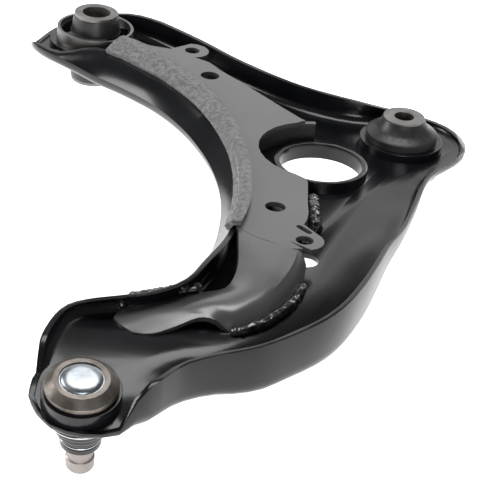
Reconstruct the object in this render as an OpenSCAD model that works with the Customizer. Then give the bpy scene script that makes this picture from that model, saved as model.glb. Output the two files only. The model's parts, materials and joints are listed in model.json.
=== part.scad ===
// Lower control arm: two welded pressings, two vertical rubber bushes and a ball joint.
// The origin is the middle of the front bush's bore, +Z runs up along that bore,
// +X points from the rear bush to the front bush and -Y points outboard to the ball joint.

/* [Arm layout] */
// Distance between the two bush axes
bush_spacing = 230; // [200:1:276]
// Outboard distance from the bush line to the ball joint seat
arm_reach = 351; // [300:1:421]
// Sideways place of the ball joint seat, from the front bush
ball_x = -1.5; // [-20:0.5:20]
// How far the ball joint seat lies below the shell floor
seat_drop = 11; // [6:0.5:16]
// Lean of the ball joint axis from vertical
axis_tilt = 12.9; // [0:0.1:16]
// Direction in plan in which the top of that axis leans
axis_heading = -66; // [-90:1:-45]

/* [Pressings] */
// Sheet thickness of the lower shell
shell_t = 3; // [2:0.1:4]
// Sheet thickness of the upper plate
plate_t = 3; // [2:0.1:4]
// Height of the upper plate's top face above the shell floor
box_h = 15; // [13:0.5:20]
// Outer radius of the bend between the shell's floor and its walls
roll_r = 9; // [7:0.5:10]
// Height of the small lip where the shell has no wall
lip_h = 1; // [0.9:0.1:3]
// Radius of the shell around the front bush
front_lobe_r = 41; // [38:0.5:45]
// Radius of the shell around the rear bush
rear_lobe_r = 34; // [32:0.5:38]
// Radius of the nose around the ball joint
nose_r = 22.7; // [22.3:0.1:26]

/* [Openings in the pressings] */
// Radius of the lightening hole in the shell
hole_r = 25.3; // [20:0.1:27]
// Wall of the collar drawn up around the lightening hole
hole_wall = 3; // [2:0.1:4]
// Height of that collar above the shell floor
hole_rim_h = 6.8; // [3:0.1:9]
// Radius of the cut-out in the upper plate above the lightening hole
cutout_r = 38.7; // [34:0.1:42]
// Radius of the round hole in the shell below the outboard tab
floor_hole_r = 8; // [6:0.5:9]
// Radii of the four small holes in the upper plate, from the rear bush outboard
plate_hole_r = [4.8, 6, 5.9, 5];
// Outer radius of the rear tab
rear_tab_r = 11; // [9:0.1:13]
// Outer radius of the outboard tab
side_tab_r = 11; // [9:0.1:12]

/* [Front bush] */
// Bore of the front inner sleeve
front_bore_r = 6.15; // [5:0.05:7]
// Outer radius of the front inner sleeve
front_sleeve_r = 13; // [11:0.1:15]
// Length of the front inner sleeve
front_sleeve_len = 43; // [38:0.5:52]
// Outside radius of the front housing ring
front_ring_r = 25.9; // [23.5:0.1:28]
// Wall of the front housing ring
front_ring_t = 3; // [2:0.1:3.5]
// Height of the front housing ring above the shell floor
front_ring_h = 5; // [3:0.5:8]

/* [Rear bush] */
// Bore of the rear inner sleeve
rear_bore_r = 9.25; // [7:0.05:10]
// Outer radius of the rear inner sleeve
rear_sleeve_r = 14.4; // [12.5:0.1:16]
// Length of the rear inner sleeve
rear_sleeve_len = 48; // [42:0.5:56]
// Outer radius of the rear outer sleeve
rear_can_r = 25.4; // [23:0.1:28]
// Wall of the rear outer sleeve
rear_can_t = 2; // [1.5:0.1:2.5]
// Height of the rear outer sleeve above the shell floor
rear_can_h = 12.6; // [9:0.2:15]
// Outside radius of the rear seat ring
rear_ring_r = 29.7; // [28.6:0.1:32]
// Height of the rear seat ring above the shell floor
rear_ring_h = 4; // [2:0.5:6]

/* [Ball joint] */
// Widest radius of the ball joint housing
housing_r = 18.9; // [17:0.1:20]
// Radius of the ball
ball_r = 12; // [10:0.1:12.5]
// Radius of the stud where it is clamped
stud_r = 7.5; // [6:0.1:8]
// Distance from the ball's centre to the end of the stud
stud_len = 47; // [44:0.5:57]
// Radius of the end cap
cap_r = 10.6; // [8:0.1:11]
// Height of the seat ring's collar above the nose
seat_ring_h = 8.7; // [6:0.1:9]

/* [Fits] */
// Clearance of the ball in its bearing shells
ball_clear = 0.05; // [0.02:0.01:0.1]
// Clearance of the boot's foot ring on the stud
foot_clear = 0.05; // [0.02:0.01:0.1]
// Gap between pieces that only pass near each other
part_gap = 0.3; // [0.2:0.05:0.5]
// Width of the weld beads
bead_w = 7.5; // [5:0.5:9]

/* [Hidden] */
$fn = 96;

// Bush heights and radii that follow from the sleeves
front_half = front_sleeve_len / 2;
front_can_r = front_ring_r - front_ring_t;
can_t = 1.5;
bond_gap = 0.02;
front_ring_below = 14;
front_shoulder_r = front_can_r - 0.6;
rear_sleeve_low = -front_half - 1.8;
rear_sleeve_top = rear_sleeve_low + rear_sleeve_len;
rear_below = 4;
void_heading = 10;
void_half = 42;
weld_t = 3.2;
cap_dome = 2.2;

// Heights: the middle of the floor sheet is level with the front bore's middle
floor_z = shell_t / 2;
plate_z = floor_z + box_h;
seat_z = floor_z - seat_drop;
ball_xy = [ball_x, -arm_reach];
rear_xy = [-bush_spacing, 0];

// Ball joint, measured along its axis from the ball's centre, which is level with the nose sheet
body_r = housing_r - 0.9;
bearing_r = ball_r + 2.4;
neck_r = ball_r * 0.53;
bearing_foot = -ball_r / 2;
// The housing's mouth clears the ball where the lower bearing ends
lip_r = sqrt(ball_r * ball_r - bearing_foot * bearing_foot) + 3 * ball_clear;
bearing_top = ball_r + 1;
spring_h = 1.1;
cap_low = bearing_top + spring_h;
cap_t = 1.1;
lip_low = cap_low + cap_t;
housing_top = lip_low + 0.8;
rim_top = housing_top - 3.8;
rim_low = rim_top - 2.4;
housing_foot = -ball_r + 2.2;
groove_r = bearing_r + 0.3;
boot_top = -6.6;
boot_foot = -24.6;
foot_h = 3.7;
// The boot's foot turns on a seat a little slimmer than the stud's end
foot_seat_r = stud_r - 0.4;
foot_r = stud_r + 3.4;
groove_z = [-34.7, -38.8];
groove_deep = 1;

// Places given from the bushes, from the ball joint, or as shares of the two spans
function at_front(x, y) = [x, y];
function at_rear(x, y) = [-bush_spacing + x, y];
function at_ball(x, y) = ball_xy + [x, y];
function at_bend(u, v) = [-bush_spacing * u, -arm_reach * v];
function front_lobe(a) = front_lobe_r * [cos(a), sin(a)];
function rear_lobe(a) = rear_xy + rear_lobe_r * [cos(a), sin(a)];
function nose(a, extra = 0) = ball_xy + (nose_r + extra) * [cos(a), sin(a)];

// The nose sheet is square to the ball joint's axis and runs smoothly into the floor
seat_normal = [sin(axis_tilt) * cos(axis_heading), sin(axis_tilt) * sin(axis_heading), cos(axis_tilt)];
function seat_plane(p) =
    seat_z - ((p.x - ball_xy.x) * seat_normal.x + (p.y - ball_xy.y) * seat_normal.y) / seat_normal.z;
function soft_min(a, b, k) = let (h = max(k - abs(a - b), 0) / k) min(a, b) - h * h * k / 4;
nose_blend = 5;
function floor_at(p) = soft_min(floor_z, seat_plane(p), nose_blend);

// Curve through control rows [point, height, number...], six steps to each stretch
curve_steps = 6;
function catmull(a, b, c, d, t) =
    0.5 * (2 * b + (c - a) * t + (2 * a - 5 * b + 4 * c - d) * t * t + (3 * b - a - 3 * c + d) * t * t * t);
function smooth_rows(rows) = [
    for (i = [0 : len(rows) - 2], s = [0 : curve_steps - 1])
        let (a = rows[max(i - 1, 0)], b = rows[i], c = rows[i + 1], d = rows[min(i + 2, len(rows) - 1)])
        catmull(a, b, c, d, s / curve_steps),
    rows[len(rows) - 1]
];
function gap(a, b) = norm([b[0] - a[0], b[1] - a[1]]);
function run_lengths(rows, i = 0, sum = 0, out = []) =
    i == len(rows) ? out
    : let (now = i == 0 ? 0 : sum + gap(rows[i - 1], rows[i])) run_lengths(rows, i + 1, now, concat(out, [now]));
function even_rows(rows, count, lead) =
    let (run = run_lengths(rows), total = run[len(run) - 1], columns = len(rows[0]))
    let (tables = [for (k = [0 : columns - 1]) [for (i = [0 : len(rows) - 1]) [run[i], rows[i][k]]]])
    [for (j = [0 : count]) let (share = j / count + lead * sin(180 * j / count))
        [for (k = [0 : columns - 1]) lookup(total * share, tables[k])]];

// ---- Lower shell ----
// Each row of its outline is a point, how far the wall's top edge lies below the plate's
// level (or undef where there is only the lip), how far the wall leans inward at its top and
// how much deeper the shell runs along its foot.
concave_side = [
    [rear_lobe(175), undef, 0, 0], [rear_lobe(192), undef, 0, 0], [at_rear(-31.5, -17), undef, 0, 0],
    [at_rear(-30, -29), undef, 0, 0], [at_rear(-26, -36.5), 8.5, 0, 0], [at_rear(-14, -42), 8.5, 2, 0],
    [at_rear(1, -43.5), 8.5, 5, 1], [at_rear(11, -42.5), 5, 11, 3], [at_rear(27, -42.5), 3, 16, 6],
    [at_bend(0.783, 0.131), 3, 15, 6], [at_bend(0.652, 0.154), 3, 14, 6], [at_bend(0.522, 0.197), 3, 13, 6],
    [at_bend(0.4, 0.256), 3, 12, 6], [at_bend(0.296, 0.322), 3, 11, 6], [at_bend(0.209, 0.396), 3, 10, 6],
    [at_bend(0.135, 0.484), 3, 9, 6],
    [at_ball(-17.5, 151), 1, 8, 5], [at_ball(-11.5, 121), 0, 7, 5], [at_ball(-9.5, 101), 1, 7, 4],
    [at_ball(-15.5, 85), 3, 6, 3], [at_ball(-26.5, 74), 4.5, 6, 2], [at_ball(-37.5, 61), 6, 4, 1],
    [at_ball(-42.5, 49), 6.5, 2, 0], [at_ball(-43, 38), 7.5, 1, 0], [at_ball(-39, 23), 9, 0, 0],
    [at_ball(-34.5, 11), 11.5, 0, 0], [at_ball(-30.5, 4.5), 22, 0, 0], [at_ball(-29, -1), undef, 0, 0],
    [nose(206, 4), undef, 0, 0], [nose(218, 2.5), undef, 0, 0], [nose(236, 1), undef, 0, 0],
    [nose(262), undef, 0, 0]
];
convex_side = [
    [rear_lobe(175), undef, 0, 0], [rear_lobe(145), 12, 0, 0], [rear_lobe(118), 8, 0, 0], [rear_lobe(95), 4, 0, 0],
    [at_rear(10, 35), 1.5, 0, 0], [at_rear(27, 34.5), 0.5, 0, 0], [at_rear(45, 30.5), 0, 0, 0],
    [at_rear(70, 24.5), 0, 0, 0], [at_rear(100, 15.5), 0, 0, 0],
    [at_front(-100, 9.5), 0, 0, 0], [at_front(-76, 7), 0, 0, 0], [at_front(-55, 8.5), 0, 0, 0],
    [at_front(-38, 14), 1.5, 0, 0], [at_front(-26, 23), 5, 0, 0], [at_front(-14, 34.5), 9, 0, 0],
    [front_lobe(95), 12, 0, 0], [front_lobe(70), 12, 0, 0], [front_lobe(40), 12, 0, 0],
    [front_lobe(10), 12, 0, 0], [front_lobe(-18), 12, 0, 0], [at_front(37.5, -27), 11.5, 0, 0],
    [at_front(39, -41), 11, 0, 0], [at_front(43.5, -58), 10, 0, 1],
    [at_bend(-0.217, 0.222), 9, 0, 1], [at_bend(-0.239, 0.276), 8, 0, 2], [at_bend(-0.259, 0.336), 6.5, 0, 3],
    [at_bend(-0.278, 0.407), 3, 0, 5], [at_bend(-0.304, 0.479), 1, 0, 8], [at_bend(-0.324, 0.547), 0, 0, 11],
    [at_ball(79, 131), 0, 0, 13], [at_ball(77, 109), 1, 0, 14], [at_ball(71, 89), 2, 0, 14],
    [at_ball(65, 73), 3, 0, 13.5], [at_ball(57, 61), 4, 0, 12], [at_ball(47, 49), 5, 0, 9.5],
    [at_ball(38.5, 33), 6, 0, 7], [at_ball(36.5, 20), 7, 0, 4.5], [at_ball(34.5, 7), 8, 0, 2],
    [at_ball(31, -1), 17, 0, 0], [at_ball(27.5, -8), undef, 0, 0],
    [nose(320, 1), undef, 0, 0], [nose(295), undef, 0, 0], [nose(262), undef, 0, 0]
];
side_count = 85;
// How far the concave side's rows run ahead, so that no two rungs of the floor cross
row_lead = 0.04;
// Working rows hold x, y, top height, lean and how much deeper the floor edge lies
function shell_rows(side, lead) = even_rows(smooth_rows([
    for (r = side) [
        r[0].x, r[0].y,
        r[1] == undef ? floor_at(r[0]) + lip_h : plate_z - r[1],
        r[2], r[3]
    ]
]), side_count, lead);
concave_rows = shell_rows(concave_side, row_lead);
convex_rows = shell_rows(convex_side, 0);
// One closed ring: out along the concave side, back along the convex side
shell_ring = concat(
    [for (j = [0 : side_count]) concave_rows[j]],
    [for (j = [side_count - 1 : -1 : 1]) convex_rows[j]]
);
ring_count = len(shell_ring);
function wrap(i) = (i + ring_count) % ring_count;
function inward(i) =
    let (a = shell_ring[wrap(i - 1)], b = shell_ring[wrap(i + 1)], d = [b[0] - a[0], b[1] - a[1]])
    [-d.y, d.x] / norm(d);
roll_steps = 5;
// Wall section at one row, as [inset, height] pairs from the top edge down to the floor
function wall_section(row, inset, base, r) = concat(
    [[row[3] + inset, row[2]], [row[3] * 0.4 + inset, (row[2] + base + r) / 2]],
    [for (k = [0 : roll_steps]) let (a = 90 * k / roll_steps)
        [inset + r * (1 - cos(a)), base + r * (1 - sin(a))]]
);
function shell_section(i, inner) =
    let (row = shell_ring[i], floor_top = floor_at(row) - row[4], base = floor_top - shell_t)
    let (h = row[2] - base, r = max(shell_t + 0.2, min(roll_r, h - 0.6)))
    inner ? wall_section(row, shell_t, floor_top, r - shell_t) : wall_section(row, 0, base, r);
function shell_skin(inner) = [
    for (i = [0 : ring_count - 1])
        let (n = inward(i)) [for (s = shell_section(i, inner)) [
            shell_ring[i][0] + n.x * s[0], shell_ring[i][1] + n.y * s[0], s[1]
        ]]
];
outer_skin = shell_skin(false);
inner_skin = shell_skin(true);
section_len = roll_steps + 3;
// The floor is a ladder of rungs between the two sides, each with inner points
rung_marks = [0.08, 0.18, 0.35, 0.55, 0.72, 0.84, 0.93];
keel_run = 28;
function fade(d) = let (f = max(0, 1 - d / keel_run)) f * f * (3 - 2 * f);
function rung(skin, j, lift) =
    let (a = skin[j][section_len - 1], b = skin[wrap(-j)][section_len - 1])
    let (span = norm(b - a), from_a = shell_ring[j][4], from_b = shell_ring[wrap(-j)][4])
    [for (m = rung_marks)
        let (p = a + (b - a) * m)
        [p.x, p.y, floor_at(p) + lift - from_a * fade(m * span) - from_b * fade((1 - m) * span)]];
function flat(lists) = [for (l = lists) each l];
outer_points = flat(outer_skin);
inner_points = flat(inner_skin);
outer_rungs = flat([for (j = [1 : side_count - 1]) rung(outer_skin, j, -shell_t)]);
inner_rungs = flat([for (j = [1 : side_count - 1]) rung(inner_skin, j, 0)]);
skin_count = ring_count * section_len;
marks = len(rung_marks);
rung_count = (side_count - 1) * marks;
function skin_id(inner, i, k) = (inner ? skin_count : 0) + wrap(i) * section_len + k;
function floor_id(inner, j, m) =
    m == 0 ? skin_id(inner, j, section_len - 1)
    : m == marks + 1 ? skin_id(inner, -j, section_len - 1)
    : 2 * skin_count + (inner ? rung_count : 0) + (j - 1) * marks + m - 1;
function quad(a, b, c, d, flip) = flip ? [[a, c, b], [a, d, c]] : [[a, b, c], [a, c, d]];
function skin_faces(inner) = flat([
    for (i = [0 : ring_count - 1], k = [0 : section_len - 2])
        quad(skin_id(inner, i, k), skin_id(inner, i + 1, k), skin_id(inner, i + 1, k + 1),
             skin_id(inner, i, k + 1), inner)
]);
function floor_faces(inner) = concat(
    flat([for (j = [1 : side_count - 2], m = [0 : marks])
        quad(floor_id(inner, j, m), floor_id(inner, j + 1, m), floor_id(inner, j + 1, m + 1),
             floor_id(inner, j, m + 1), inner)]),
    [for (m = [0 : marks]) let (t = [floor_id(inner, 0, 0), floor_id(inner, 1, m), floor_id(inner, 1, m + 1)])
        inner ? [t[0], t[2], t[1]] : t],
    [for (m = [0 : marks])
        let (t = [floor_id(inner, side_count, 0), floor_id(inner, side_count - 1, m + 1),
                  floor_id(inner, side_count - 1, m)])
        inner ? [t[0], t[2], t[1]] : t]
);
function rim_faces() = flat([
    for (i = [0 : ring_count - 1])
        quad(skin_id(false, i, 0), skin_id(true, i, 0), skin_id(true, i + 1, 0), skin_id(false, i + 1, 0), false)
]);
shell_faces = concat(skin_faces(false), skin_faces(true), floor_faces(false), floor_faces(true), rim_faces());

lightening_xy = at_bend(0.091, 0.192);
floor_hole_xy = at_bend(-0.107, 0.482);
module pressed_pan() {
    polyhedron(points = concat(outer_points, inner_points, outer_rungs, inner_rungs), faces = shell_faces);
}
module ball_frame() {
    translate([ball_xy.x, ball_xy.y, seat_z]) rotate([0, 0, axis_heading]) rotate([0, axis_tilt, 0]) children();
}
// Ring with a plain section between two heights
module ring(outer, inner, low, high) {
    translate([0, 0, low]) difference() {
        cylinder(r = outer, h = high - low);
        translate([0, 0, -1]) cylinder(r = inner, h = high - low + 2);
    }
}
// Flat-sided outline that just clears a round piece of radius r
seat_sides = 72;
module many_sided(r) {
    polygon([for (k = [0 : seat_sides - 1])
        r / cos(180 / seat_sides) * [cos(360 * k / seat_sides), sin(360 * k / seat_sides)]]);
}
module lower_shell() {
    color([0.10, 0.10, 0.11]) difference() {
        union() {
            pressed_pan();
            translate([lightening_xy.x, lightening_xy.y, floor_z - shell_t])
                cylinder(r = hole_r + hole_wall, h = shell_t + hole_rim_h);
        }
        translate([lightening_xy.x, lightening_xy.y, floor_z - 20]) cylinder(r = hole_r, h = 40);
        translate([0, 0, -20]) linear_extrude(height = 40) many_sided(front_ring_r);
        translate([rear_xy.x, rear_xy.y, -20]) cylinder(r = rear_can_r, h = 40);
        ball_frame() translate([0, 0, -20]) cylinder(r = body_r, h = 40);
        translate([floor_hole_xy.x, floor_hole_xy.y, floor_z - 20]) cylinder(r = floor_hole_r, h = 40);
    }
}

// ---- Upper plate ----
// A grid of points becomes a sheet of one thickness, hung below the grid
function unit(v) = v / norm(v);
function grid_normal(g, i, j) =
    let (rows = len(g), cols = len(g[0]))
    let (a = g[min(i + 1, rows - 1)][j] - g[max(i - 1, 0)][j])
    let (b = g[i][min(j + 1, cols - 1)] - g[i][max(j - 1, 0)], n = unit(cross(a, b)))
    n;
module sheet_patch(g, t, flip = false, way = undef) {
    rows = len(g);
    cols = len(g[0]);
    side = flip ? 1 : -1;
    under = [for (i = [0 : rows - 1]) [for (j = [0 : cols - 1])
        g[i][j] + t * (way == undef ? side * grid_normal(g, i, j) : way)]];
    count = rows * cols;
    top_faces = flat([for (i = [0 : rows - 2], j = [0 : cols - 2])
        let (a = i * cols + j) quad(a, a + 1, a + cols + 1, a + cols, false)]);
    low_faces = flat([for (i = [0 : rows - 2], j = [0 : cols - 2])
        let (a = count + i * cols + j) quad(a, a + cols, a + cols + 1, a + 1, false)]);
    edge = concat(
        [for (j = [0 : cols - 2]) j], [for (i = [0 : rows - 2]) i * cols + cols - 1],
        [for (j = [cols - 1 : -1 : 1]) (rows - 1) * cols + j], [for (i = [rows - 1 : -1 : 1]) i * cols]
    );
    edge_faces = flat([for (k = [0 : len(edge) - 1])
        let (a = edge[k], b = edge[(k + 1) % len(edge)]) quad(a, count + a, count + b, b, false)]);
    faces = concat(top_faces, low_faces, edge_faces);
    polyhedron(
        points = concat(flat(g), flat(under)),
        faces = flip ? [for (f = faces) [f[0], f[2], f[1]]] : faces
    );
}
// Smooth surface through a few rows of four [x, y, z] points
function column(rows, k) = [for (r = rows) r[k]];
function loft(rows, along, across) =
    let (cols = [for (k = [0 : len(rows[0]) - 1]) stretch(column(rows, k), along)])
    [for (i = [0 : len(cols[0]) - 1]) stretch([for (c = cols) c[i]], across)];
function stretch(pts, steps) = [
    for (i = [0 : len(pts) - 2], s = [0 : steps - 1])
        let (a = pts[max(i - 1, 0)], b = pts[i], c = pts[i + 1], d = pts[min(i + 2, len(pts) - 1)])
        catmull(a, b, c, d, s / steps),
    pts[len(pts) - 1]
];
// A point of the plate: its plan place and how far it lies below the plate's flat top
function low(p, drop) = [p.x, p.y, plate_z - drop];

// The plate's edge along the concave side, from the rear bush outboard
plate_inner_edge = [
    at_rear(29, -13.5), at_rear(49, -16), at_bend(0.696, 0.071), at_bend(0.622, 0.091), at_bend(0.517, 0.125),
    at_bend(0.435, 0.168), at_bend(0.352, 0.214), at_bend(0.278, 0.265), at_bend(0.217, 0.316),
    at_bend(0.165, 0.367), at_bend(0.117, 0.419), at_bend(0.078, 0.473), at_ball(-10.5, 166)
];
rear_tab_xy = at_bend(0.687, -0.017);
second_hole_xy = at_bend(0.559, 0.058);
third_hole_xy = at_bend(0.03, 0.427);
side_tab_xy = at_ball(27, 177);
cutout_xy = lightening_xy;
function cutout(a) = cutout_xy + cutout_r * [cos(a), sin(a)];
plate_outline = concat(
    stretch(plate_inner_edge, 4),
    [at_ball(5, 163), at_ball(26, 164), at_ball(31, 168)],
    [at_bend(-0.083, 0.513)],
    [for (a = [-40 : 20 : 60]) side_tab_xy + side_tab_r * [cos(a), sin(a)]],
    [at_bend(-0.07, 0.45)],
    [at_bend(-0.066, 0.436), at_bend(-0.05, 0.41), at_bend(-0.02, 0.377), at_bend(0.03, 0.317), at_bend(0.043, 0.306)],
    [for (a = [-86 : -12 : -228]) cutout(a)],
    [at_bend(0.213, 0.107), at_bend(0.226, 0.106), at_bend(0.304, 0.087), at_bend(0.435, 0.053),
     at_bend(0.565, 0.022), at_bend(0.605, 0.008)],
    [for (a = [-50 : 25 : 125]) rear_tab_xy + rear_tab_r * [cos(a), sin(a)]],
    [at_bend(0.74, 0.004), at_rear(50, -5), at_rear(35, -9)]
);
// Left edge, crest, right shoulder and right foot of the part that bends down to the shell
tongue_rows = [
    [low(at_ball(-10.5, 168.5), 0.15), low(at_ball(8, 168.5), 0.15), low(at_ball(29, 166.5), 0.45), low(at_ball(36, 164), 7)],
    [low(at_ball(-2.5, 155), 0.5), low(at_ball(13.5, 154), 0.2), low(at_ball(34, 151), 1.5), low(at_ball(41, 152), 13)],
    [low(at_ball(6.5, 140), 2), low(at_ball(21, 138), 0.6), low(at_ball(37, 135), 2.2), low(at_ball(44, 136), 13.5)],
    [low(at_ball(12.5, 127), 4), low(at_ball(25, 125), 1.6), low(at_ball(38, 122), 3.2), low(at_ball(44.5, 122), 13.5)],
    [low(at_ball(13, 116), 8), low(at_ball(24.5, 112), 3), low(at_ball(36, 108), 4.5), low(at_ball(42.5, 106), 14)],
    [low(at_ball(2.5, 110), 12), low(at_ball(16, 99), 5), low(at_ball(30, 94), 5.5), low(at_ball(37, 93), 14.5)],
    [low(at_ball(-5, 102), 13), low(at_ball(9, 91), 7), low(at_ball(25, 89), 7.5), low(at_ball(33.5, 88), 15)],
    [low(at_ball(-9, 97), 13.1), low(at_ball(5.5, 87), 8), low(at_ball(18, 85.5), 7.8), low(at_ball(25, 86), 9.5)],
    [low(at_ball(-13, 92), 13.2), low(at_ball(1, 83), 9), low(at_ball(11, 81), 8.5), low(at_ball(17, 81.5), 9)],
    [low(at_ball(-21, 79), 13.4), low(at_ball(-8, 74.5), 11.2), low(at_ball(2, 72), 11.5), low(at_ball(10, 71), 12)],
    [low(at_ball(-23, 68), 13.8), low(at_ball(-14, 64), 13.3), low(at_ball(-5, 62), 13.8), low(at_ball(2, 60.5), 14.5)],
    [low(at_ball(-22, 61), 14.3), low(at_ball(-16, 58), 14.3), low(at_ball(-11, 57), 14.8), low(at_ball(-7, 56), 15)]
];
tongue_way = [-0.32, 0.1, -1.02];
// Side wall of the plate between the cut-out and the outboard tab
side_wall_rows = [
    [low(at_bend(0.037, 0.313), 1), low(at_bend(0.024, 0.313), 14.6)],
    [low(at_bend(0.009, 0.348), 1), low(at_bend(-0.004, 0.348), 14.6)],
    [low(at_bend(-0.025, 0.387), 1), low(at_bend(-0.038, 0.387), 14.6)],
    [low(at_bend(-0.058, 0.43), 1), low(at_bend(-0.071, 0.43), 14.6)]
];
// Wall turned down around the cut-out
function cut_wall(a) = [
    low(cutout(a) + 0.7 * [cos(a), sin(a)], 1.6), low(cutout(a) + [cos(a), sin(a)], 5),
    low(cutout(a) + 2 * [cos(a), sin(a)], 14.6)
];
// Narrow slot beside the outboard tab
function slot(a, b, r) = let (turn = atan2(b.y - a.y, b.x - a.x)) concat(
    [for (k = [90 : 30 : 270]) a + r * [cos(turn + k), sin(turn + k)]],
    [for (k = [-90 : 30 : 90]) b + r * [cos(turn + k), sin(turn + k)]]
);
module upper_plate() {
    color([0.55, 0.55, 0.57]) {
        difference() {
            union() {
                translate([0, 0, plate_z - plate_t]) linear_extrude(plate_t) difference() {
                    polygon(plate_outline);
                    polygon(slot(at_bend(-0.067, 0.461), at_bend(-0.1, 0.468), 1.8));
                }
                sheet_patch(loft(tongue_rows, 3, 4), plate_t, way = tongue_way);
                sheet_patch(loft(side_wall_rows, 3, 2), plate_t);
                sheet_patch([for (a = [-110 : -7 : -236]) stretch(cut_wall(a), 2)], plate_t, true);
            }
            for (h = [
                [rear_tab_xy, plate_hole_r[0]], [second_hole_xy, plate_hole_r[1]],
                [third_hole_xy, plate_hole_r[2]], [side_tab_xy, plate_hole_r[3]]
            ])
                translate([h[0].x, h[0].y, plate_z - 10]) cylinder(r = h[1], h = 20);
        }
    }
}

// ---- Welds ----
// Bead swept along a smooth route, with ripples along its length
module bead(route, w, steps, ripple) {
    line = stretch(route, steps);
    count = len(line);
    sides = 8;
    points = [for (i = [0 : count - 1])
        let (a = line[max(i - 1, 0)], b = line[min(i + 1, count - 1)], along = unit(b - a))
        let (across = unit(cross(along, [0, 0, 1])), up = cross(across, along))
        let (end = min(1, 0.55 + 0.45 * min(i, count - 1 - i)))
        let (r = w / 2 * end * (1 + ripple * (i % 2 == 0 ? 1 : -1)))
        for (k = [0 : sides - 1]) line[i] + r * (cos(360 * k / sides) * across + sin(360 * k / sides) * up)];
    polyhedron(
        points = points,
        faces = concat(
            [[for (k = [0 : sides - 1]) k]],
            [[for (k = [sides - 1 : -1 : 0]) (count - 1) * sides + k]],
            flat([for (i = [0 : count - 2], k = [0 : sides - 1])
                let (a = i * sides + k, b = i * sides + (k + 1) % sides) quad(a, a + sides, b + sides, b, false)])
        )
    );
}
// Broad weld that closes the concave side, from the plate's edge down to the shell's wall
function shell_top(i) =
    let (rows = concave_rows, row = rows[i], a = rows[i - 1], b = rows[i + 1])
    let (n = unit([a[1] - b[1], b[0] - a[0]]))
    [row[0] + n.x * row[3], row[1] + n.y * row[3]];
function nearest_top(p) =
    let (tops = [for (i = [8 : side_count - 8]) shell_top(i)])
    let (d = [for (t = tops) norm(t - p)], k = search(min(d), d)[0])
    [tops[k].x, tops[k].y, concave_rows[k + 8][2]];
edge_weld_rows = [for (p = plate_inner_edge)
    let (t = nearest_top(p), out = unit([t.x - p.x, t.y - p.y]), wall = [t.x, t.y] + out * 1.5)
    [
        [p.x - out.x * 2, p.y - out.y * 2, plate_z + 0.4],
        [p.x + out.x * 2, p.y + out.y * 2, plate_z + 0.8],
        [(p.x + wall.x) / 2, (p.y + wall.y) / 2, plate_z - 0.6],
        [wall.x, wall.y, t.z - 1]
    ]];
module concave_edge_weld() {
    color([0.42, 0.42, 0.43]) sheet_patch(loft(edge_weld_rows, 3, 2), weld_t);
}
inner_weld_line = [at_bend(0.025, 0.299), at_bend(-0.01, 0.336), at_bend(-0.043, 0.372), at_bend(-0.066, 0.395)];
module inner_side_weld() {
    color([0.16, 0.16, 0.17])
        bead([for (p = inner_weld_line) low(p, 12)], bead_w, 8, 0.06);
}
module outer_side_weld() {
    color([0.12, 0.12, 0.13])
        bead([for (i = [1 : 6]) tongue_rows[i][3] + [1, -1, 0.6]], bead_w * 0.8, 4, 0.08);
}
module tip_weld() {
    color([0.12, 0.12, 0.13])
        bead([for (i = [5 : 10]) tongue_rows[i][0] + [-1.2, 0.9, 2.4]], bead_w * 0.8, 5, 0.1);
}

// ---- Bushes ----
module front_housing_ring() {
    color([0.08, 0.08, 0.09])
        ring(front_ring_r, front_ring_r - front_ring_t, -front_ring_below, floor_z + front_ring_h);
}
module front_outer_sleeve() {
    color([0.25, 0.25, 0.26])
        ring(front_can_r, front_can_r - can_t, -front_ring_below - 2, floor_z + front_ring_h);
}
module front_rubber() {
    color([0.07, 0.07, 0.07]) rotate_extrude() polygon([
        [front_sleeve_r + bond_gap, front_half - 1], [front_sleeve_r + 1.2, front_half - 3.5],
        [front_sleeve_r + 4, front_half - 7.5], [front_shoulder_r - 1, floor_z + front_ring_h + 5.2],
        [front_shoulder_r, floor_z + front_ring_h + 4.2], [front_shoulder_r, floor_z + front_ring_h],
        [front_can_r - can_t, floor_z + front_ring_h], [front_can_r - can_t, -front_ring_below - 1],
        [front_can_r - can_t - 4, -front_ring_below + 2], [front_sleeve_r + 1.5, -front_ring_below - 1],
        [front_sleeve_r + bond_gap, -front_half + 2]
    ]);
}
module front_inner_sleeve() {
    color([0.62, 0.61, 0.59]) ring(front_sleeve_r, front_bore_r, -front_half, front_half);
}
module rear_seat_ring() {
    color([0.10, 0.10, 0.11]) translate([rear_xy.x, 0, 0]) ring(rear_ring_r, rear_can_r, floor_z, floor_z + rear_ring_h);
}
module rear_outer_sleeve() {
    color([0.30, 0.30, 0.30]) translate([rear_xy.x, 0, 0])
        ring(rear_can_r, rear_can_r - rear_can_t, -rear_below, floor_z + rear_can_h);
}
module rear_rubber() {
    color([0.07, 0.07, 0.07]) translate([rear_xy.x, 0, 0]) difference() {
        rotate_extrude() polygon([
            [rear_sleeve_r + bond_gap, rear_sleeve_top - 2], [rear_sleeve_r + 0.6, rear_sleeve_top - 3],
            [rear_sleeve_r + 2, floor_z + rear_can_h - 2], [rear_can_r - rear_can_t, floor_z + rear_can_h - 3.5],
            [rear_can_r - rear_can_t, -rear_below + 0.5], [rear_sleeve_r + 3, -rear_below + 1.5],
            [rear_sleeve_r + 1, -rear_below - 8], [rear_sleeve_r + 0.6, rear_sleeve_low + 3],
            [rear_sleeve_r + bond_gap, rear_sleeve_low + 2]
        ]);
        for (side = [0, 180]) rotate([0, 0, side + void_heading]) intersection() {
            ring(rear_can_r - rear_can_t - 1, rear_sleeve_r + 2.2, -30, 30);
            rotate([0, 0, -void_half]) cube([60, 60, 80], center = false);
            rotate([0, 0, void_half - 90]) cube([60, 60, 80], center = false);
        }
    }
}
module rear_inner_sleeve() {
    color([0.62, 0.61, 0.59]) translate([rear_xy.x, 0, 0])
        ring(rear_sleeve_r, rear_bore_r, rear_sleeve_low, rear_sleeve_top);
}

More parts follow.
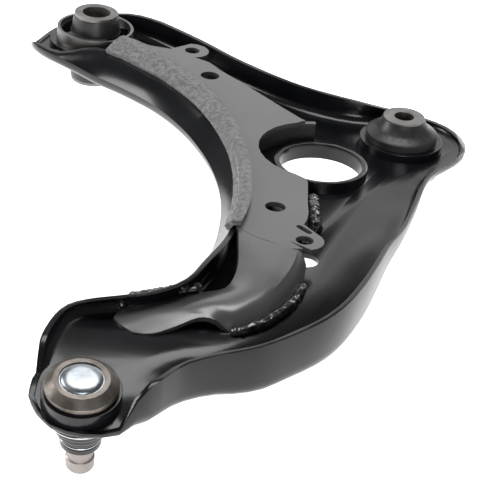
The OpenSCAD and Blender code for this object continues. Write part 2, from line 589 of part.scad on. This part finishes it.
// ---- Ball joint ----
module ball_seat_ring() {
    color([0.06, 0.06, 0.06]) ball_frame() ring(body_r + 2.4, body_r, 0, seat_ring_h);
}
module ball_housing() {
    color([0.45, 0.42, 0.39]) ball_frame() rotate_extrude() polygon([
        [lip_r, bearing_foot], [bearing_r, bearing_foot], [bearing_r, lip_low], [cap_r + 0.8, lip_low],
        [cap_r + 0.8, housing_top - 0.3], [cap_r + 1.1, housing_top], [housing_r - 4.6, housing_top],
        [housing_r, rim_top], [housing_r, rim_low + 0.4], [housing_r - 0.4, rim_low], [body_r, rim_low],
        [body_r, -shell_t - 0.6], [groove_r, boot_top + 0.2], [groove_r, boot_top - 1.6],
        [groove_r + 0.7, boot_top - 2], [groove_r + 0.7, housing_foot + 0.4], [groove_r + 0.3, housing_foot],
        [lip_r + 2.2, housing_foot]
    ]);
}
module end_cap() {
    color([0.80, 0.82, 0.84]) ball_frame() rotate_extrude() polygon(concat(
        [[0, cap_low], [bearing_r - 0.1, cap_low], [bearing_r - 0.1, lip_low], [cap_r, lip_low]],
        [for (a = [0 : 15 : 60]) [cap_r * 0.6 + cap_r * 0.4 * cos(a * 1.5), lip_low + (cap_dome) * sin(a * 1.5)]],
        [[0, lip_low + cap_dome + 0.1]]
    ));
}
module preload_spring() {
    color([0.40, 0.40, 0.42]) ball_frame() rotate_extrude() polygon([
        [5.5, bearing_top + 0.05], [bearing_r - 0.8, cap_low - 0.55], [bearing_r - 0.8, cap_low - 0.05],
        [5.5, bearing_top + 0.55]
    ]);
}
ball_space = ball_r + ball_clear;
module upper_bearing() {
    color([0.85, 0.85, 0.80]) ball_frame() difference() {
        translate([0, 0, 2]) cylinder(r = bearing_r - ball_clear, h = bearing_top - 2);
        sphere(r = ball_space);
        translate([0, 0, 5]) cylinder(r = 4.5, h = bearing_top);
    }
}
module lower_bearing() {
    color([0.85, 0.85, 0.80]) ball_frame() difference() {
        translate([0, 0, bearing_foot]) cylinder(r = bearing_r - ball_clear, h = 1.6 - bearing_foot);
        sphere(r = ball_space);
    }
}
module ball_stud() {
    color([0.70, 0.66, 0.63]) ball_frame() difference() {
        union() {
            sphere(r = ball_r);
            rotate_extrude() polygon([
                [0, -4], [neck_r, -4], [neck_r, -14], [foot_seat_r - foot_clear, -17],
                [foot_seat_r - foot_clear, boot_foot - foot_h - 0.1], [stud_r, boot_foot - foot_h - 0.1],
                [stud_r, groove_z[0]], [stud_r - groove_deep, groove_z[0] - 0.8],
                [stud_r - groove_deep, groove_z[1] + 0.8], [stud_r, groove_z[1]],
                [stud_r, -stud_len + 2], [stud_r - 0.6, -stud_len + 0.8], [stud_r - 2, -stud_len], [0, -stud_len]
            ]);
        }
        translate([0, 0, ball_r - 1.2]) cylinder(r = ball_r, h = 5);
    }
}
// Boot outline: share of the way from the foot ring's radius to the housing's, and height
boot_shape = [
    [0.845, boot_top], [0.873, boot_top - 2], [0.8, boot_top - 3.8], [0.61, boot_top - 5], [0.62, boot_top - 6.8],
    [0.52, boot_top - 8.2], [0.35, boot_top - 9.4], [0.365, boot_top - 11], [0.25, boot_top - 12.4],
    [0.1, boot_top - 13.6], [0.085, boot_top - 15], [-0.04, boot_foot + 1.1 + part_gap]
];
boot_wall = 1.3;
boot_line = stretch([for (p = boot_shape) [foot_r + (body_r - foot_r) * p[0], p[1]]], 3);
module dust_boot() {
    color([0.05, 0.05, 0.05]) ball_frame() rotate_extrude() polygon(concat(
        [[groove_r + 0.05, boot_top - 1.2], [groove_r + 0.05, boot_top]],
        boot_line,
        [for (i = [len(boot_line) - 1 : -1 : 12]) [boot_line[i].x - boot_wall, boot_line[i].y]],
        [[groove_r + 0.8, housing_foot - 0.3], [groove_r + 0.8, boot_top - 1.7]]
    ));
}
module boot_top_clip() {
    color([0.65, 0.65, 0.67]) ball_frame() translate([0, 0, boot_top - 2])
        rotate_extrude() translate([boot_line[3].x + 0.35, 0]) circle(r = 0.6, $fn = 24);
}
module boot_foot_ring() {
    color([0.05, 0.05, 0.05]) ball_frame() difference() {
        rotate_extrude() polygon([
            [stud_r - 2, boot_foot], [foot_r - 0.4, boot_foot], [foot_r, boot_foot - 0.4],
            [foot_r, boot_foot - foot_h + 0.5], [foot_r - 0.5, boot_foot - foot_h], [stud_r - 2, boot_foot - foot_h]
        ]);
        translate([0, 0, boot_foot - foot_h - 1]) cylinder(r = foot_seat_r, h = foot_h + 2);
    }
}
module boot_foot_clip() {
    color([0.75, 0.75, 0.77]) ball_frame() translate([0, 0, boot_foot + 0.55])
        rotate_extrude() translate([foot_r - 0.6, 0]) circle(r = 0.55, $fn = 24);
}

lower_shell();
upper_plate();
concave_edge_weld();
inner_side_weld();
outer_side_weld();
tip_weld();
front_housing_ring();
front_outer_sleeve();
front_rubber();
front_inner_sleeve();
rear_seat_ring();
rear_outer_sleeve();
rear_rubber();
rear_inner_sleeve();
ball_seat_ring();
ball_housing();
end_cap();
preload_spring();
upper_bearing();
lower_bearing();
ball_stud();
dust_boot();
boot_top_clip();
boot_foot_ring();
boot_foot_clip();
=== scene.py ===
import bpy
import json
import math
from mathutils import Matrix, Vector


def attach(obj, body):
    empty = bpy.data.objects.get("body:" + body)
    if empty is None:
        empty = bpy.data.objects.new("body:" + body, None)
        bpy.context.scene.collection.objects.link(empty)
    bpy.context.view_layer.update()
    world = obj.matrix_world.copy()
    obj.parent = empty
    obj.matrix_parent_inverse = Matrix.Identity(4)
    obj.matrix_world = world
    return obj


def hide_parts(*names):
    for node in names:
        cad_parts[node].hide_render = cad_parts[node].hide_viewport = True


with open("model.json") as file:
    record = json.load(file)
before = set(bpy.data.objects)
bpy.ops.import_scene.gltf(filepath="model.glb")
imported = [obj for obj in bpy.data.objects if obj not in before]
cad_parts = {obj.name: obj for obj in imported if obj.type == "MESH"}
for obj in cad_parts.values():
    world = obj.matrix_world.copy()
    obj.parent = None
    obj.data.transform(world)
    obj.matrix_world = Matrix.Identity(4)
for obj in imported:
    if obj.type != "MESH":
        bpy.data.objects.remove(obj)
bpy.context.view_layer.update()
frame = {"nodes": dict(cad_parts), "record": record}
print("stage: frame loaded")

# lengths in metres; heading is the level part of the view direction
cameraSettings = {
    "place": (0.4656, -1.0968, 0.5665),
    "heading": (-0.46135, 0.88722),
    "pitch": math.radians(28.47),
    "roll": math.radians(-6.08),
    "lens": 157.2,
    "sensor": 36.0,
    "clip": (0.05, 20),
}


def addCamera(s):
    cameraData = bpy.data.cameras.new("viewCamera")
    cameraData.lens = s["lens"]
    cameraData.sensor_width = s["sensor"]
    cameraData.clip_start, cameraData.clip_end = s["clip"]
    camera = bpy.data.objects.new("viewCamera", cameraData)
    bpy.context.scene.collection.objects.link(camera)
    headX, headY = s["heading"]
    along, down = math.cos(s["pitch"]), math.sin(s["pitch"])
    forward = Vector((headX * along, headY * along, -down))
    level = Vector((headY, -headX, 0))
    upright = level.cross(forward)
    right = level * math.cos(s["roll"]) - upright * math.sin(s["roll"])
    up = right.cross(forward)
    turn = Matrix((right, up, -forward)).transposed().to_4x4()
    camera.matrix_world = Matrix.Translation(Vector(s["place"])) @ turn
    bpy.context.scene.camera = camera


addCamera(cameraSettings)
print("stage: camera")

# a glowing floor under a dim sky; each light: (place, aimed at, size x, size y, watts)
studioSettings = {
    "floorLevel": -0.075,
    "floorSize": 60.0,
    "floorGlow": 0.95,
    "floorColor": (0.93, 0.93, 0.93, 1),
    "floorRoughness": 0.9,
    "glowColor": (1, 1, 1, 1),
    "skyColor": (1.0, 1.0, 1.0, 1),
    "skyStrength": 0.13,
    "lights": {
        "topBox": ((-0.15, 0.1, 1.3), (-0.05, -0.15, 0), 1.0, 0.6, 11),
        "backBox": ((-0.7, 1.1, 0.66), (-0.05, -0.12, 0), 2.2, 0.8, 5.2),
        "frontBox": ((1.0, -1.7, 0.3), (0.0, -0.2, 0), 0.9, 0.6, 11),
        "ridgeStrip": ((-0.25, 1.5, 0.35), (-0.05, -0.12, 0), 0.25, 1.1, 2.2),
        "leftBox": ((-1.4, -0.7, 0.6), (-0.1, -0.2, 0), 0.5, 0.9, 12),
    },
}


def addStudio(s):
    bpy.ops.mesh.primitive_plane_add(size=s["floorSize"], location=(0, 0, s["floorLevel"]))
    floor = bpy.context.object
    floor.name = "studioFloor"
    paper = bpy.data.materials.new("studioPaper")
    paper.use_nodes = True
    shader = paper.node_tree.nodes["Principled BSDF"]
    shader.inputs["Base Color"].default_value = s["floorColor"]
    shader.inputs["Roughness"].default_value = s["floorRoughness"]
    shader.inputs["Emission Color"].default_value = s["glowColor"]
    shader.inputs["Emission Strength"].default_value = s["floorGlow"]
    floor.data.materials.append(paper)
    for name, (place, aim, sizeX, sizeY, watts) in s["lights"].items():
        lightData = bpy.data.lights.new(name, "AREA")
        lightData.shape = "RECTANGLE"
        lightData.size = sizeX
        lightData.size_y = sizeY
        lightData.energy = watts
        light = bpy.data.objects.new(name, lightData)
        bpy.context.scene.collection.objects.link(light)
        light.location = place
        light.rotation_euler = (Vector(aim) - Vector(place)).to_track_quat("-Z", "Y").to_euler()
    world = bpy.data.worlds.new("studioSky")
    world.use_nodes = True
    sky = world.node_tree.nodes["Background"]
    sky.inputs["Color"].default_value = s["skyColor"]
    sky.inputs["Strength"].default_value = s["skyStrength"]
    bpy.context.scene.world = world
    bpy.context.scene.view_settings.view_transform = "Standard"
    bpy.context.scene.view_settings.look = "None"


addStudio(studioSettings)
print("stage: studio")

# one finish for each material slot, and weldBead for the three beads along the plate.
# One noise of scale mottle runs the colour from dark to light and the roughness over rough;
# a finer one of scale grain drives a bump of strength bump.
# plainFinish holds what a finish has unless its own row says otherwise.
plainFinish = dict(metallic=0.0, coat=0.0, coatRough=0.1, ior=1.5, mottleDetail=4, grainDetail=3,
                   darkUpTo=0.32, lightFrom=0.68, bumpDistance=0.0004)
finishSettings = {
    "coated_steel": dict(
        dark=(0.003, 0.0034, 0.0046), light=(0.009, 0.0095, 0.0115), rough=(0.15, 0.27),
        mottle=18, grain=900, bump=0.05, coat=0.12, coatRough=0.08, ior=1.42),
    # coated_plate is black paint like the shell; its base colour is lifted to a mid grey as painted
    # reflection, standing in for the bright studio mirrored in the plate's flat top
    "coated_plate": dict(
        dark=(0.065, 0.066, 0.069), light=(0.095, 0.096, 0.099), rough=(0.28, 0.36),
        mottle=24, grain=1100, bump=0.06, coat=0.5, coatRough=0.25, ior=1.65),
    "coated_weld": dict(
        dark=(0.09, 0.09, 0.092), light=(0.24, 0.24, 0.245), rough=(0.35, 0.6), metallic=0.1,
        mottle=420, grain=1300, bump=0.9, coat=0.2, coatRough=0.25, ior=1.6),
    "weldBead": dict(
        dark=(0.006, 0.006, 0.007), light=(0.020, 0.020, 0.022), rough=(0.12, 0.26),
        mottle=260, grain=700, bump=0.5, coat=0.6, coatRough=0.08, ior=1.6),
    "bare_sleeve": dict(
        dark=(0.16, 0.155, 0.15), light=(0.30, 0.29, 0.28), rough=(0.34, 0.5), metallic=0.85,
        mottle=90, grain=1400, bump=0.12),
    "housing_steel": dict(
        dark=(0.085, 0.074, 0.064), light=(0.25, 0.225, 0.20), rough=(0.30, 0.48), metallic=0.75,
        mottle=110, grain=1500, bump=0.16),
    "zinc_cap": dict(
        dark=(0.24, 0.26, 0.28), light=(0.42, 0.45, 0.48), rough=(0.26, 0.40), metallic=0.9,
        mottle=140, grain=900, bump=0.05),
    "spring_steel": dict(
        dark=(0.40, 0.40, 0.42), light=(0.70, 0.70, 0.72), rough=(0.12, 0.22), metallic=1.0,
        mottle=80, grain=900, bump=0.03),
    "stud_steel": dict(
        dark=(0.30, 0.265, 0.25), light=(0.42, 0.38, 0.36), rough=(0.32, 0.42), metallic=0.55,
        mottle=60, grain=1200, bump=0.04),
    "bush_rubber": dict(
        dark=(0.012, 0.012, 0.013), light=(0.030, 0.030, 0.032), rough=(0.36, 0.5),
        mottle=60, grain=1600, bump=0.12, coat=0.15, coatRough=0.3),
    "boot_rubber": dict(
        dark=(0.007, 0.007, 0.008), light=(0.018, 0.018, 0.019), rough=(0.28, 0.42),
        mottle=50, grain=1600, bump=0.1, coat=0.2, coatRough=0.25),
    "bearing_plastic": dict(
        dark=(0.62, 0.62, 0.58), light=(0.72, 0.72, 0.68), rough=(0.35, 0.45),
        mottle=40, grain=900, bump=0.03, ior=1.46),
    "foot_plastic": dict(
        dark=(0.008, 0.008, 0.008), light=(0.02, 0.02, 0.02), rough=(0.16, 0.26),
        mottle=40, grain=900, bump=0.03, coat=0.3),
}


def addNoise(nodes, links, place, scale, detail):
    noise = nodes.new("ShaderNodeTexNoise")
    noise.inputs["Scale"].default_value = scale
    noise.inputs["Detail"].default_value = detail
    links.new(place.outputs["Object"], noise.inputs["Vector"])
    return noise


def makeFinish(name, s):
    finish = bpy.data.materials.new(name)
    finish.use_nodes = True
    nodes, links = finish.node_tree.nodes, finish.node_tree.links
    shader = nodes["Principled BSDF"]
    place = nodes.new("ShaderNodeTexCoord")
    mottle = addNoise(nodes, links, place, s["mottle"], s["mottleDetail"])
    tint = nodes.new("ShaderNodeValToRGB")
    darkEnd, lightEnd = tint.color_ramp.elements
    darkEnd.position, darkEnd.color = s["darkUpTo"], (*s["dark"], 1)
    lightEnd.position, lightEnd.color = s["lightFrom"], (*s["light"], 1)
    links.new(mottle.outputs["Fac"], tint.inputs["Fac"])
    links.new(tint.outputs["Color"], shader.inputs["Base Color"])
    gloss = nodes.new("ShaderNodeMapRange")
    gloss.inputs["To Min"].default_value, gloss.inputs["To Max"].default_value = s["rough"]
    links.new(mottle.outputs["Fac"], gloss.inputs["Value"])
    links.new(gloss.outputs["Result"], shader.inputs["Roughness"])
    grain = addNoise(nodes, links, place, s["grain"], s["grainDetail"])
    bump = nodes.new("ShaderNodeBump")
    bump.inputs["Strength"].default_value = s["bump"]
    bump.inputs["Distance"].default_value = s["bumpDistance"]
    links.new(grain.outputs["Fac"], bump.inputs["Height"])
    links.new(bump.outputs["Normal"], shader.inputs["Normal"])
    shader.inputs["Metallic"].default_value = s["metallic"]
    shader.inputs["Coat Weight"].default_value = s["coat"]
    shader.inputs["Coat Roughness"].default_value = s["coatRough"]
    shader.inputs["IOR"].default_value = s["ior"]
    return finish


finishes = {slot: makeFinish(slot + "_finish", {**plainFinish, **s}) for slot, s in finishSettings.items()}
print("stage: finishes")

slotOf = {p["node"]: p["material_slot"] for p in frame["record"]["subparts"]}
bodyOf = {n: body for body, members in frame["record"]["behaviour"]["bodies"].items() for n in members}

# how a piece's copy of its CAD mesh is refined: lengths in metres, angles in degrees.
# Points within merge become one and faces flat to within flatTo become one face, then edges sharper
# than roundOver are rounded by edge. A weld isn't rounded: it is cut finer and pushed into lumps of
# size lump and height height. angle is where smooth shading stops; flatFaces keeps broad faces flat.
# plainRefine holds what a piece has unless its own row says otherwise.
plainRefine = dict(merge=0.00001, edge=0.0003, flatTo=0.6, roundOver=50, roundSteps=2, angle=38,
                   cuts=0, lump=0, lumpDetail=2, height=0, flatFaces=True, flatWeight=60)
refineSettings = {
    "lower_shell": dict(edge=0.0004, flatFaces=False),
    "upper_plate": dict(edge=0.0004, angle=24),
    "concave_edge_weld": dict(edge=0, angle=60, cuts=4, lump=0.0016, height=0.0008),
    "inner_side_weld": dict(edge=0, angle=70, cuts=3, lump=0.0035, height=0.0022, finish="weldBead"),
    "outer_side_weld": dict(edge=0, angle=70, cuts=3, lump=0.004, height=0.0020, finish="weldBead"),
    "tip_weld": dict(edge=0, angle=70, cuts=3, lump=0.0035, height=0.0022, finish="weldBead"),
}


def refineNode(node):
    s = {**plainRefine, **refineSettings.get(node, {})}
    source = frame["nodes"][node]
    piece = bpy.data.objects.new(node + "Piece", source.data.copy())
    bpy.context.scene.collection.objects.link(piece)
    bpy.ops.object.select_all(action="DESELECT")
    piece.select_set(True)
    bpy.context.view_layer.objects.active = piece
    piece.data.materials.clear()
    piece.data.materials.append(finishes[s.get("finish", slotOf[node])])
    bpy.ops.object.mode_set(mode="EDIT")
    bpy.ops.mesh.select_all(action="SELECT")
    bpy.ops.mesh.remove_doubles(threshold=s["merge"])
    bpy.ops.mesh.customdata_custom_splitnormals_clear()
    if s["edge"]:
        bpy.ops.mesh.dissolve_limited(angle_limit=math.radians(s["flatTo"]))
    if s["cuts"]:
        bpy.ops.mesh.subdivide(number_cuts=s["cuts"], smoothness=0)
    bpy.ops.object.mode_set(mode="OBJECT")
    if s["edge"]:
        bevel = piece.modifiers.new("edgeRound", "BEVEL")
        bevel.width = s["edge"]
        bevel.segments = s["roundSteps"]
        bevel.limit_method = "ANGLE"
        bevel.angle_limit = math.radians(s["roundOver"])
        bevel.use_clamp_overlap = True
        bpy.ops.object.modifier_apply(modifier=bevel.name)
    if s["lump"]:
        clouds = bpy.data.textures.new(node + "Lumps", "CLOUDS")
        clouds.noise_scale = s["lump"]
        clouds.noise_depth = s["lumpDetail"]
        push = piece.modifiers.new("lumps", "DISPLACE")
        push.texture = clouds
        push.texture_coords = "LOCAL"
        push.strength = s["height"]
        bpy.ops.object.modifier_apply(modifier=push.name)
    bpy.ops.object.shade_smooth_by_angle(angle=math.radians(s["angle"]))
    if s["edge"] and s["flatFaces"]:
        weigh = piece.modifiers.new("flatFacesRule", "WEIGHTED_NORMAL")
        weigh.mode = "FACE_AREA"
        weigh.weight = s["flatWeight"]
        weigh.keep_sharp = True
        bpy.ops.object.modifier_apply(modifier=weigh.name)
    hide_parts(node)
    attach(piece, bodyOf[node])


for node in slotOf:
    refineNode(node)
print("stage: pieces refined", len(slotOf))
